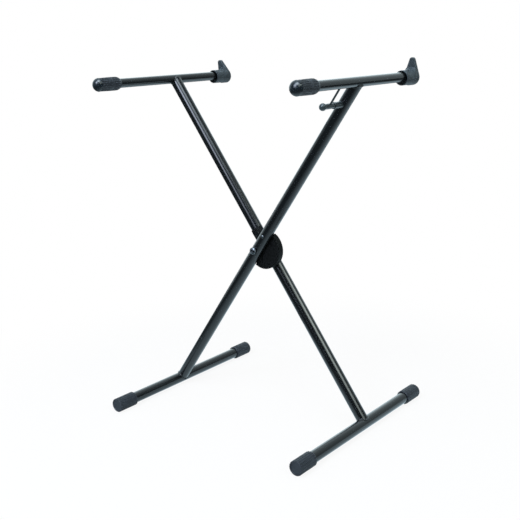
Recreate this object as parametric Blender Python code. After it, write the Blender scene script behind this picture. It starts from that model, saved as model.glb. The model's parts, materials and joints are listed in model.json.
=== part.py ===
# Folding X stand for a keyboard, made of round steel tube.
# Metres, +Z up, X to the right, Y to the back. The origin is on the floor, straight
# below the pivot bolt and halfway between the two legs. It is modelled standing open.
#
# Each leg is welded to one arm at its top and one foot at its bottom. The rear leg
# leans left and carries the left arm and the right foot. The front leg leans right
# and carries the right arm, the left foot and the release lever. In a leg's own
# frame the pivot is the origin, +Z runs up the leg and +X is square to it.

import math

import bmesh
import bpy
from mathutils import Matrix, Vector

# Driving sizes of the legs, arms and feet
splay = math.radians(35.46)      # each leg from the vertical
leg_upper = 0.5042               # pivot to the arm's axis
leg_lower = 0.4958               # pivot to the foot's axis
leg_d = 0.0286
leg_wall = 0.0015
arm_d = 0.0225
arm_wall = 0.0012
foot_d = 0.0280
foot_wall = 0.0015
arm_front_y = -0.2370            # front end of the arm tubes
arm_rear_y = 0.2050              # rear end of the arm tubes
foot_half = 0.2575               # half the length of the foot tubes
arm_saddle = 0.0030              # how far below the arm's axis the leg's ears end
foot_saddle = 0.0060             # how far above the foot's axis the leg's ears end

# Clearances
fit = 0.0003                     # between pieces that touch on the real stand
run = 0.0006                     # between pieces that slide or turn past each other

# Rubber caps
cap_ribs = 20
rib_depth = 0.0009
rib_share = 0.55                 # part of one rib's pitch that is crest
foot_cap_d = 0.0360
foot_cap_length = 0.0580
foot_cap_end = 0.0040            # wall beyond the tube's end
foot_cap_rim = 0.0030            # width of the raised rim on the end face
foot_cap_sink = 0.0012           # how deep the end face lies inside its rim
foot_cap_edge = 0.0014
arm_cap_d = 0.0328
arm_cap_taper = 0.0115           # length of the taper down to the tube
arm_cap_skirt = 0.0520           # ribbed length ahead of the taper
arm_cap_level = 0.0180           # rear part of it, where the ribs run level
arm_cap_nose = 0.0315            # diameter of the ribs just behind the dome
dome_r = 0.0165
dome_h = 0.0138
dome_step = 0.0005

# Rear caps with an upright stop, which turn on the arms
stop_d = 0.0346
stop_mouth_y = 0.1670
stop_mouth_depth = 0.0085
stop_mouth_wall = 0.0018
stop_plate_y = 0.2110
stop_plate = 0.0100
stop_drop = 0.0020               # outline's centre below the arm's axis
stop_round_r = 0.0187            # round part of the stop's plate
stop_height = 0.0433             # tip of the stop above the arm's axis
stop_tip_r = 0.0062
stop_flare = 0.0240              # radius of the barrel where it meets the stop
stop_flare_length = 0.0200
stop_lip = 0.0018                # thickness of the flare's rim
stop_lip_rise = 0.0012
stop_edge = 0.0012
left_lean = math.radians(22.0)   # outwards from the vertical
right_lean = math.radians(2.5)

# Pivot
bolt_d = 0.0080
bolt_head_d = 0.0180
bolt_head_h = 0.0078
bolt_head_side = 0.0045          # straight part of the head's side
bolt_key = 0.0050                # across the flats of the hexagon socket
bolt_key_depth = 0.0030
bush_wall = 0.0020
washer_d = 0.0170
washer_t = 0.0016
nut_across = 0.0130
nut_h = 0.0078
bolt_end = 0.0020                # thread beyond the nut

# Toothed plate, fixed to the rear leg
plate_t = 0.0030
plate_r = 0.0442
plate_hub_r = 0.0150
notch_r = 0.0033
notch_at = 0.0413                # pivot to the notch's centre
notch_pitch = math.radians(12.0)
notches_below = 4                # notches on the folded side of the one in use
notches_above = 3
plate_lead = math.radians(28.0)  # plate ahead of its first notch, over the rear leg
plate_margin = math.radians(6.4) # and past its last
rivet_d = 0.0050
rivet_tail_d = 0.0072
rivet_tail = 0.0018
rivet_across = 0.0035            # from the rear leg's axis
rivet_places = (0.0230, 0.0345)  # up the rear leg

# Plastic saddle over the front half of the rear leg, with the seat of the plate
sleeve_wall = 0.0020
sleeve_top = 0.0530
sleeve_bottom = -0.0380
pad_rise = 0.0018                # seat ahead of the saddle
pad_from, pad_to = -0.0050, 0.0120
pad_inset = 0.0060

# Plastic half round cover on the front leg
cover_t = 0.0020
cover_gap = 0.0005               # to the leg tube
cover_r = 0.0490
cover_across = 0.0104            # centre of the round from the leg's axis
cover_up = 0.0068                # and above the pivot
cover_hub_r = 0.0130
cover_from = math.radians(7.0)   # edges, turned from straight up the leg
cover_to = math.radians(171.0)
cover_face = 0.0079              # front of the housing ahead of the hub's front
cover_side = 0.0132              # its wall beside the leg, from the leg's axis
cover_edge = 0.0008
rib_from, rib_to = 0.0095, 0.0137
saddle_low, saddle_high = -0.0300, 0.0340

# Release gear, drawn with the pin just clear of the plate
lever_drop = 0.0594              # arm's axis to the lever's axis
lever_d = 0.0086
grip_d = 0.0122                  # lever between its collar and its ball
lever_collar_d = 0.0150
lever_collar_length = 0.0290
ball_d = 0.0166
ball_y = -0.1019
guide_rod_d = 0.0047
guide_rod_y = -0.0770
guide_rod_over = 0.0008          # its top above the arm's axis
release_travel = 0.0064          # lever, rods and pin, up the leg
pin_d = 0.0060
pin_head_d = 0.0087
pin_head = 0.0022
pin_up = 0.0477                  # pivot to the pin
pull_rod_d = 0.0050
eye_wall = 0.0026
eye_length = 0.0100
guide_up = 0.3000
guide_length = 0.0180
spring_length = 0.0420
spring_wire = 0.0014
spring_d = 0.0130
spring_turns = 9
spring_collar_d = 0.0160
spring_collar_h = 0.0050

# Places that follow from the sizes above
leg_gap = cover_gap + cover_t + fit + plate_t + fit + pad_rise + sleeve_wall + fit
leg_y = leg_gap / 2 + leg_d / 2
foot_rest = foot_cap_d / 2 * math.cos(math.pi / cap_ribs * rib_share)
pivot_z = leg_lower * math.cos(splay) + foot_rest
cover_front = -leg_gap / 2 + cover_gap
cover_back = cover_front + cover_t
plate_front = cover_back + fit
plate_back = plate_front + plate_t
pad_front = plate_back + fit
skirt_back = leg_gap / 2 - run
sleeve_r = leg_d / 2 + fit + sleeve_wall
leg_outer = leg_y + leg_d / 2
housing_front = cover_front - cover_face
lever_up = leg_upper - lever_drop
bush_d = bolt_d + 2 * fit + 2 * bush_wall
open_angle = 2 * splay

steel_sides = 32
bore_sides = 20
arm_sides = 24


# Meshes

def circle(radius, sides, along, axis="Y", phase=0.0):
    """Points of a circle round an axis, at a distance along it."""
    points = []
    for i in range(sides):
        turn = phase + 2 * math.pi * i / sides
        a, b = radius * math.cos(turn), radius * math.sin(turn)
        points.append({"X": (along, a, b), "Y": (a, along, b), "Z": (a, b, along)}[axis])
    return points


def polar(radius_at, angles, along):
    """Points round the Y axis, where an angle is turned from +Z towards +X."""
    points = []
    for turn in angles:
        r = radius_at(turn)
        points.append((r * math.sin(turn), along, r * math.cos(turn)))
    return points


def loft(rings, loop=False):
    """Skin over rings of equally many points. A ring of one point is a pole.

    With loop the last ring joins the first, otherwise the end rings are filled.
    """
    points = [point for ring in rings for point in ring]
    starts, total = [], 0
    for ring in rings:
        starts.append(total)
        total += len(ring)
    faces = []
    pairs = list(zip(range(len(rings)), range(1, len(rings))))
    if loop:
        pairs.append((len(rings) - 1, 0))
    for a, b in pairs:
        count = max(len(rings[a]), len(rings[b]))
        for i in range(count):
            j = (i + 1) % count
            if len(rings[a]) == 1:
                faces.append((starts[a], starts[b] + j, starts[b] + i))
            elif len(rings[b]) == 1:
                faces.append((starts[a] + i, starts[a] + j, starts[b]))
            else:
                faces.append((starts[a] + i, starts[a] + j, starts[b] + j, starts[b] + i))
    if not loop:
        for k in (0, len(rings) - 1):
            if len(rings[k]) > 1:
                faces.append(tuple(starts[k] + i for i in range(len(rings[k]))))
    return points, faces


def turned(profile, sides, axis="Y", phase=0.0, loop=False):
    """Solid of revolution from (distance along the axis, radius) pairs."""
    rings = []
    for along, radius in profile:
        if radius == 0.0:
            rings.append([{"X": (along, 0, 0), "Y": (0, along, 0), "Z": (0, 0, along)}[axis]])
        else:
            rings.append(circle(radius, sides, along, axis, phase))
    return loft(rings, loop)


def pipe(start, end, outer, inner, sides, axis="Y", phase=0.0):
    """Straight tube, open at both ends."""
    profile = [(start, outer), (end, outer), (end, inner), (start, inner)]
    return turned(profile, sides, axis, phase, loop=True)


def box(x0, x1, y0, y1, z0, z1):
    corners = [[(x, y, z) for x, y in ((x0, y0), (x1, y0), (x1, y1), (x0, y1))] for z in (z0, z1)]
    return loft(corners)


def prism(outline, z0, z1):
    """Outline of (x, y) points carried along Z."""
    return loft([[(x, y, z) for x, y in outline] for z in (z0, z1)])


def slot(width, length, y0, y1, z_middle, steps=8):
    """Round ended slot through Y, long in Z."""
    r, straight = width / 2, length / 2 - width / 2
    outline = []
    for i in range(2 * steps):
        turn = math.pi * i / steps
        lift = straight if turn < math.pi else -straight
        outline.append((r * math.cos(turn), z_middle + lift + r * math.sin(turn)))
    outline.insert(steps, (-r, z_middle + straight))
    outline.append((r, z_middle - straight))
    return loft([[(x, y, z) for x, z in outline] for y in (y0, y1)])


# Objects

def srgb(value):
    value /= 255
    return value / 12.92 if value <= 0.04045 else ((value + 0.055) / 1.055) ** 2.4


def material(name, hex_colour, roughness, metallic):
    made = bpy.data.materials.new(name)
    made.use_nodes = True
    shader = made.node_tree.nodes["Principled BSDF"]
    channels = [int(hex_colour[i:i + 2], 16) for i in (0, 2, 4)]
    shader.inputs["Base Color"].default_value = (*map(srgb, channels), 1.0)
    shader.inputs["Roughness"].default_value = roughness
    shader.inputs["Metallic"].default_value = metallic
    return made


def add(name, mesh_data, body, coat=None, at=(0, 0, 0), turn=(0, 0, 0), smooth=35):
    """Named object on a body's empty. Without a coat it is a cutter."""
    points, faces = mesh_data
    mesh = bpy.data.meshes.new(name)
    mesh.from_pydata(points, [], faces)
    work = bmesh.new()
    work.from_mesh(mesh)
    bmesh.ops.recalc_face_normals(work, faces=work.faces)
    work.to_mesh(mesh)
    work.free()
    made = bpy.data.objects.new(name, mesh)
    bpy.context.collection.objects.link(made)
    made.parent = body
    made.location = at
    made.rotation_euler = turn
    if coat:
        mesh.materials.append(coat)
        mesh.shade_smooth()
        mesh.set_sharp_from_angle(angle=math.radians(smooth))
    else:
        made.hide_render = True
        made.display_type = "WIRE"
    return made


def combine(piece, other, operation):
    change = piece.modifiers.new(operation.lower(), "BOOLEAN")
    change.operation = operation
    change.object = other


def cut(piece, *cutters):
    for cutter in cutters:
        combine(piece, cutter, "DIFFERENCE")


def join(piece, *others):
    for other in others:
        combine(piece, other, "UNION")


def empty(name, parent=None, at=(0, 0, 0), turn=0.0):
    """A body's empty, on its joint's axis and turned about Y."""
    made = bpy.data.objects.new(name, None)
    bpy.context.collection.objects.link(made)
    made.parent = parent
    made.location = at
    made.rotation_euler = (0, turn, 0)
    return made


# Caps

def rib_radii(ribs, crest, depth):
    """(angle, radius) round a ribbed ring, with a crest centred on +Z."""
    pitch = 2 * math.pi / ribs
    half = pitch * rib_share / 2
    shoulder = pitch / 2 - half * 0.75
    ring = []
    for i in range(ribs):
        middle = i * pitch
        ring += [(middle - half, crest), (middle + half, crest)]
        ring += [(middle + pitch / 2 - shoulder / 2, crest - depth)]
        ring += [(middle + pitch / 2 + shoulder / 2, crest - depth)]
    return ring


def ribbed_ring(crest, depth, along):
    ring = rib_radii(cap_ribs, crest, depth)
    return [(r * math.sin(turn), along, r * math.cos(turn)) for turn, r in ring]


def plain_ring(radius, along):
    return ribbed_ring(radius, 0.0, along)


def foot_cap():
    """Cap of a foot tube, its closed end at -Y and its mouth at 0."""
    crest = foot_cap_d / 2
    bore = foot_d / 2 + fit
    face = -foot_cap_length
    rings = [
        plain_ring(bore, face + foot_cap_end),
        plain_ring(bore, 0.0),
        plain_ring(crest - foot_cap_edge - rib_depth, 0.0),
        ribbed_ring(crest - 0.2 * foot_cap_edge, rib_depth, -foot_cap_edge),
        ribbed_ring(crest, rib_depth, -2 * foot_cap_edge),
        ribbed_ring(crest, rib_depth, face + foot_cap_edge),
        plain_ring(crest - foot_cap_edge, face),
        plain_ring(crest - foot_cap_edge - foot_cap_rim, face),
        plain_ring(crest - foot_cap_edge - foot_cap_rim - foot_cap_sink / 2, face + foot_cap_sink),
    ]
    return loft(rings)


def arm_cap():
    """Front cap of an arm, its tube's end at 0 and its dome at -Y."""
    crest, nose = arm_cap_d / 2, arm_cap_nose / 2
    bore = arm_d / 2 + fit
    rim = math.sqrt(dome_r ** 2 - (dome_r - dome_h) ** 2)
    rim_y = -(dome_step + fit + 0.0022)
    skirt_end = rim_y + arm_cap_skirt
    mouth = skirt_end + arm_cap_taper
    rings = [
        plain_ring(bore, -fit),
        plain_ring(bore, mouth),
        plain_ring(bore + 0.0012, mouth),
        ribbed_ring(crest, rib_depth, skirt_end),
        ribbed_ring(crest, rib_depth, skirt_end - arm_cap_level),
        ribbed_ring(nose, rib_depth, rim_y + dome_step),
        plain_ring(nose - rib_depth - dome_step, rim_y + dome_step / 2),
        plain_ring(rim, rim_y),
    ]
    steps = 4
    start = math.acos((dome_r - dome_h) / dome_r)
    for i in range(1, steps):
        lean = start * (1 - i / steps)
        rise = dome_r * math.cos(lean) - (dome_r - dome_h)
        rings.append(plain_ring(dome_r * math.sin(lean), rim_y - rise))
    rings.append([(0, rim_y - dome_h, 0)])
    return loft(rings)


def dropped_circle(radius, turn):
    """Distance from the arm's axis to a circle whose centre lies stop_drop below it."""
    return math.sqrt(radius ** 2 - (stop_drop * math.sin(turn)) ** 2) - stop_drop * math.cos(turn)


def teardrop(turn):
    """Radius of the stop's outline, turned from its tip: two circles and their tangents."""
    big, small = stop_round_r, stop_tip_r
    middle = stop_height - small
    turn = abs(math.atan2(math.sin(turn), math.cos(turn)))
    slope = math.asin((big - small) / (middle + stop_drop))
    if turn >= math.atan2(big * math.cos(slope), big * math.sin(slope) - stop_drop):
        return dropped_circle(big, turn)
    if turn <= math.atan2(small * math.cos(slope), middle + small * math.sin(slope)):
        reach = max(0.0, small ** 2 - (middle * math.sin(turn)) ** 2)
        return middle * math.cos(turn) + math.sqrt(reach)
    return (big - stop_drop * math.sin(slope)) / math.sin(turn + slope)


def stop_cap():
    """Rear cap with its stop, in the frame of the arm's axis, its tip straight up."""
    half_turn = (0, 2.8, 5.6, 8.5, 13, 20, 29, 39, 51, 63, 75, 90, 105, 120, 135, 150, 165, 180)
    sides = [math.radians(turn) for turn in half_turn]
    angles = sides + [-turn for turn in reversed(sides[1:-1])]
    back = stop_plate_y + stop_plate
    bore = arm_d / 2 + fit
    barrel = stop_d / 2
    lip_y = stop_plate_y - stop_lip

    def ring(limit, along, inset=0.0):
        return polar(lambda turn: min(teardrop(turn) - inset, dropped_circle(limit, turn)), angles, along)

    rings = [
        polar(lambda turn: bore, angles, arm_rear_y + fit),
        polar(lambda turn: bore, angles, stop_mouth_y + stop_mouth_depth),
        ring(barrel - stop_mouth_wall, stop_mouth_y + stop_mouth_depth * 0.5),
        ring(barrel - stop_mouth_wall, stop_mouth_y),
        ring(barrel - stop_mouth_wall * 0.35, stop_mouth_y),
        ring(barrel, stop_mouth_y + stop_mouth_wall),
        ring(barrel, stop_plate_y - stop_flare_length),
        ring(barrel + (stop_flare - barrel) * 0.3, stop_plate_y - stop_flare_length * 0.42),
        ring(stop_flare - stop_lip_rise, lip_y),
        ring(stop_flare, lip_y + 0.0002),
        ring(stop_flare, stop_plate_y),
        ring(2 * stop_height, stop_plate_y + 0.0002, stop_edge),
        ring(2 * stop_height, stop_plate_y + stop_edge),
        ring(2 * stop_height, back - stop_edge),
        ring(2 * stop_height, back, stop_edge),
    ]
    return loft(rings)


# The scene starts empty

for old in list(bpy.data.objects):
    bpy.data.objects.remove(old, do_unlink=True)

black_paint = material("black_powder_coat", "1a1d1f", 0.36, 0.0)
cap_rubber = material("ribbed_rubber", "3d444a", 0.62, 0.0)
cover_plastic = material("matt_moulded_plastic", "0d0e0e", 0.6, 0.0)
lever_paint = material("lever_enamel", "2b3033", 0.3, 0.0)
plated_steel = material("dull_plated_steel", "5b6064", 0.38, 1.0)
spring_steel = material("spring_steel", "8a8d90", 0.32, 1.0)

rear_body = empty("rear_frame", at=(0, 0, pivot_z), turn=-splay)
front_body = empty("front_frame", at=(0, 0, pivot_z), turn=splay)
release_body = empty("release", front_body)
left_stop_body = empty("left_stop", rear_body, (0, 0, leg_upper), splay - left_lean)
right_stop_body = empty("right_stop", front_body, (0, 0, leg_upper), -splay + right_lean)


# Welded frames

def frame(side, body, y, upright, arm, foot):
    """One leg with its arm and foot. upright is the turn that undoes the body's lean."""
    half = leg_d / 2
    leg = add(
        f"{side}_leg_tube",
        pipe(foot_saddle - leg_lower, leg_upper - arm_saddle, half, half - leg_wall, steel_sides, "Z"),
        body, black_paint, at=(0, y, 0),
    )
    for end, tube_d, up in (("arm", arm_d, leg_upper), ("foot", foot_d, -leg_lower)):
        saddle = tube_d / 2 + fit
        cutter = turned([(y - leg_d, saddle), (y + leg_d, saddle)], arm_sides)
        cut(leg, add(
            f"{side}_{end}_saddle", cutter, body, at=(0, 0, up), turn=(0, upright + math.pi / arm_sides, 0),
        ))
    arm_tube = add(
        f"{arm}_arm_tube",
        pipe(arm_front_y, arm_rear_y, arm_d / 2, arm_d / 2 - arm_wall, arm_sides),
        body, black_paint, at=(0, 0, leg_upper), turn=(0, upright + math.pi / arm_sides, 0),
    )
    add(
        f"{foot}_foot_tube",
        pipe(-foot_half, foot_half, foot_d / 2, foot_d / 2 - foot_wall, arm_sides),
        body, black_paint, at=(0, 0, -leg_lower), turn=(0, upright + math.pi / arm_sides, 0),
    )
    add(
        f"{arm}_arm_front_cap", arm_cap(), body, cap_rubber,
        at=(0, arm_front_y, leg_upper), turn=(0, upright, 0),
    )
    reach = foot_half + foot_cap_end + fit - foot_cap_length
    add(
        f"{foot}_foot_front_cap", foot_cap(), body, cap_rubber,
        at=(0, -reach, -leg_lower), turn=(0, upright, 0),
    )
    add(
        f"{foot}_foot_rear_cap", foot_cap(), body, cap_rubber,
        at=(0, reach, -leg_lower), turn=(0, upright, math.pi),
    )
    return leg, arm_tube


rear_leg, left_arm = frame("rear", rear_body, leg_y, splay, "left", "right")
front_leg, right_arm = frame("front", front_body, -leg_y, -splay, "right", "left")

add("left_arm_stop", stop_cap(), left_stop_body, cap_rubber)
add("right_arm_stop", stop_cap(), right_stop_body, cap_rubber)


# Pivot bolt and bushes

def pivot():
    bore = bolt_d / 2 + fit
    outer = bush_d / 2
    front_from, front_to = -leg_outer - fit, cover_front - fit
    rear_from, rear_to = pad_front, leg_outer + fit
    add("front_leg_bush", pipe(front_from, front_to, outer, bore, bore_sides), front_body, plated_steel)
    add("rear_leg_bush", pipe(rear_from, rear_to, outer, bore, bore_sides), rear_body, plated_steel)
    hole = outer + fit
    front_hole = add("front_bush_hole", turned([(-2 * leg_y, hole), (0, hole)], bore_sides), front_body)
    rear_hole = add("rear_bush_hole", turned([(0, hole), (3 * leg_y, hole)], bore_sides), rear_body)
    cut(front_leg, front_hole)
    cut(rear_leg, rear_hole)

    head_y = front_from - fit
    head = bolt_head_d / 2
    shank_end = rear_to + 3 * fit + washer_t + nut_h + bolt_end
    rings = [circle(bolt_d / 2, bore_sides, shank_end), circle(bolt_d / 2, bore_sides, head_y)]
    dome_y = head_y - bolt_head_side
    rings += [circle(head, bore_sides, head_y), circle(head, bore_sides, dome_y)]
    for share, rise in ((0.95, 0.36), (0.80, 0.74), (0.60, 0.94)):
        rings.append(circle(head * share, bore_sides, dome_y - rise * (bolt_head_h - bolt_head_side)))
    key = bolt_key / math.sqrt(3)
    rings.append(circle(key * 1.35, bore_sides, head_y - bolt_head_h))
    bolt = add("pivot_bolt", loft(rings), rear_body, plated_steel)
    socket = [(head_y - 2 * bolt_head_h, key), (head_y - bolt_head_h + bolt_key_depth, key)]
    cut(bolt, add("bolt_key_hole", turned(socket, 6), rear_body))

    washer_y = rear_to + fit
    washer = pipe(washer_y, washer_y + washer_t, washer_d / 2, bore, bore_sides)
    add("pivot_washer", washer, rear_body, plated_steel)
    nut_y = washer_y + washer_t + fit
    nut = nut_across / math.sqrt(3)
    collar = nut_across / 2 * 0.9
    add("pivot_nut", nut_rings(nut_y, nut, collar, bore), rear_body, plated_steel)
    return rear_hole


def nut_rings(start, corner, collar, bore):
    """Lock nut: a hexagon with a round collar behind it."""
    sides = 24
    step = 2 * math.pi / sides

    def hexagon(turn):
        inside = (turn % (math.pi / 3)) - math.pi / 6
        return corner * math.cos(math.pi / 6) / math.cos(inside)

    angles = [i * step for i in range(sides)]
    flat = start + 0.7 * nut_h
    rings = [polar(hexagon, angles, start), polar(hexagon, angles, flat)]
    end = start + nut_h
    for radius, along in ((collar, flat + 0.0004), (collar * 0.94, end), (bore, end), (bore, start)):
        rings.append(polar(lambda turn, r=radius: r, angles, along))
    return loft(rings, loop=True)


rear_hole = pivot()


# Toothed plate and its rivets

def plate_outline():
    """(angle, radius) of the plate round the pivot, angles turned from up the rear leg."""
    first = open_angle - notches_below * notch_pitch
    last = open_angle + notches_above * notch_pitch
    outline = [(first - plate_lead, plate_hub_r), (first - plate_lead, plate_r)]
    for i in range(notches_below + notches_above + 1):
        middle = first + i * notch_pitch
        mouth = math.asin(notch_r / plate_r)
        outline.append((middle - mouth, plate_r))
        for step in range(1, 8):
            round_turn = math.pi * step / 8
            across = -notch_r * math.cos(round_turn)
            up = notch_at - notch_r * math.sin(round_turn)
            outline.append((middle + math.atan2(across, up), math.hypot(across, up)))
        outline.append((middle + mouth, plate_r))
    outline += [(last + plate_margin, plate_r), (last + plate_margin, plate_hub_r)]
    gap = 2 * math.pi - (last - first + plate_lead + plate_margin)
    steps = 14
    for i in range(1, steps):
        outline.append((last + plate_margin + gap * i / steps, plate_hub_r))
    return outline


def flat_plate(name, outline, y0, y1, body, coat):
    """Flat plate from an outline of (angle, radius) about the pivot, bored for the bolt."""
    rings = [[(r * math.sin(turn), y, r * math.cos(turn)) for turn, r in outline] for y in (y0, y1)]
    made = add(name, loft(rings), body, coat)
    bore = bolt_d / 2 + fit
    cut(made, add(f"{name}_bore", turned([(y0 - bore, bore), (y1 + bore, bore)], bore_sides), body))
    return made


def wall_inside(x):
    """Y of the rear leg's inner face, this far across from its axis."""
    return leg_y - math.sqrt((leg_d / 2 - leg_wall) ** 2 - x ** 2)


def plate():
    made = flat_plate("lock_plate", plate_outline(), plate_front, plate_back, rear_body, black_paint)
    hole_r = rivet_d / 2 + fit
    hole_end = wall_inside(rivet_across + hole_r) + fit
    tail = wall_inside(rivet_across + rivet_tail_d / 2) + fit
    for name, up in zip(("lower", "upper"), rivet_places):
        profile = [
            (plate_front, rivet_d / 2), (tail, rivet_d / 2),
            (tail, rivet_tail_d / 2), (tail + rivet_tail, rivet_tail_d * 0.4),
        ]
        add(f"plate_rivet_{name}", turned(profile, 16), rear_body, plated_steel, at=(rivet_across, 0, up))
        hole = [(plate_front - hole_r, hole_r), (hole_end, hole_r)]
        cutter = add(f"rivet_hole_{name}", turned(hole, 16), rear_body, at=(rivet_across, 0, up))
        yield made, cutter


def sleeve():
    """Half round saddle on the front of the rear leg, with a flat seat for the plate."""
    half_circle = []
    for i in range(steel_sides // 2 + 1):
        turn = math.pi + 2 * math.pi * i / steel_sides
        half_circle.append((sleeve_r * math.cos(turn), sleeve_r * math.sin(turn)))
    made = add(
        "pivot_sleeve", prism(half_circle, sleeve_bottom, sleeve_top),
        rear_body, cover_plastic, at=(0, leg_y, 0),
    )
    pad = add(
        "sleeve_pad",
        box(pad_from, pad_to, pad_front, leg_y - fit, sleeve_bottom + pad_inset, sleeve_top - pad_inset),
        rear_body,
    )
    inside = leg_d / 2 + fit
    core = add(
        "sleeve_core",
        turned([(sleeve_bottom - 0.01, inside), (sleeve_top + 0.01, inside)], steel_sides, "Z"),
        rear_body, at=(0, leg_y, 0),
    )
    join(made, pad)
    cut(made, core, rear_hole)
    return made


sleeve_piece = sleeve()
for plate_piece, rivet_hole in plate():
    for holed in (plate_piece, sleeve_piece, rear_leg):
        cut(holed, rivet_hole)


# Half round cover on the front leg

def cover_radius(turn, radius):
    """Distance from the pivot to the cover's round edge, turned from up the front leg."""
    along = cover_across * math.sin(turn) + cover_up * math.cos(turn)
    return along + math.sqrt(along ** 2 - cover_across ** 2 - cover_up ** 2 + radius ** 2)


def half_round(radius, side, steps=28):
    """(x, z) outline of the cover's round, cut off straight at x = side."""
    start = math.asin((side - cover_across) / radius)
    outline = []
    for i in range(steps + 1):
        turn = start + (math.pi - 2 * start) * i / steps
        outline.append((cover_across + radius * math.sin(turn), cover_up + radius * math.cos(turn)))
    return outline


def cover():
    """Hub plate behind the leg, with an open backed housing beside the leg."""
    sunk = cover_r - cover_t / 2
    seam = cover_side + cover_t / 2
    reach = math.sqrt(sunk ** 2 - (seam - cover_across) ** 2)
    outline = [(cover_from, cover_hub_r), (cover_from, cover_radius(cover_from, sunk))]
    for z in (cover_up + reach, cover_up - reach):
        outline.append((math.atan2(seam, z), math.hypot(seam, z)))
    outline += [(cover_to, cover_radius(cover_to, sunk)), (cover_to, cover_hub_r)]
    gap = 2 * math.pi - (cover_to - cover_from)
    outline += [(cover_to + gap * i / 14, cover_hub_r) for i in range(1, 14)]
    made = flat_plate("pivot_cover", outline, cover_front, cover_back, front_body, cover_plastic)

    # The housing, open at its back, and the ends of its round wall behind the leg
    sections = []
    for inset, y in ((cover_edge, housing_front), (0, housing_front + cover_edge), (0, skirt_back)):
        edge = half_round(cover_r - inset, cover_side)
        sections.append([(x, y, z) for x, z in edge])
    housing = add("cover_housing", loft(sections), front_body)
    for name, side, y0 in (
        ("room", cover_side + cover_t, housing_front + cover_t),
        ("mouth", cover_side - cover_t, cover_back - fit),
    ):
        hollow = half_round(cover_r - cover_t, side)
        room = [[(x, y, z) for x, z in hollow] for y in (y0, leg_gap)]
        cut(housing, add(f"cover_{name}", loft(room), front_body))
    join(made, housing)
    for name, ends in (("upper", (cover_from + 0.01, 0.30)), ("lower", (2.78, cover_to - 0.01))):
        steps = 5
        wall = []
        for i in range(steps + 1):
            turn = ends[0] + (ends[1] - ends[0]) * i / steps
            ring = []
            for radius, y in (
                (cover_r - fit, cover_front + fit), (cover_r - fit, skirt_back - fit),
                (cover_r - cover_t + fit, skirt_back - fit), (cover_r - cover_t + fit, cover_front + fit),
            ):
                r = cover_radius(turn, radius)
                ring.append((r * math.sin(turn), y, r * math.cos(turn)))
            wall.append(ring)
        join(made, add(f"cover_{name}_end", loft(wall), front_body))

    saddle = [(rib_from, cover_front + cover_t / 2)]
    for i in range(5):
        x = rib_from + (rib_to - rib_from) * i / 4
        touch = math.sqrt((leg_d / 2 + fit) ** 2 - x ** 2) - leg_y
        saddle.append((x, max(touch, housing_front + cover_t / 2)))
    saddle.append((rib_to, cover_front + cover_t / 2))
    join(made, add("cover_saddle", prism(saddle, saddle_low, saddle_high), front_body))


cover()


# Release gear

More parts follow.
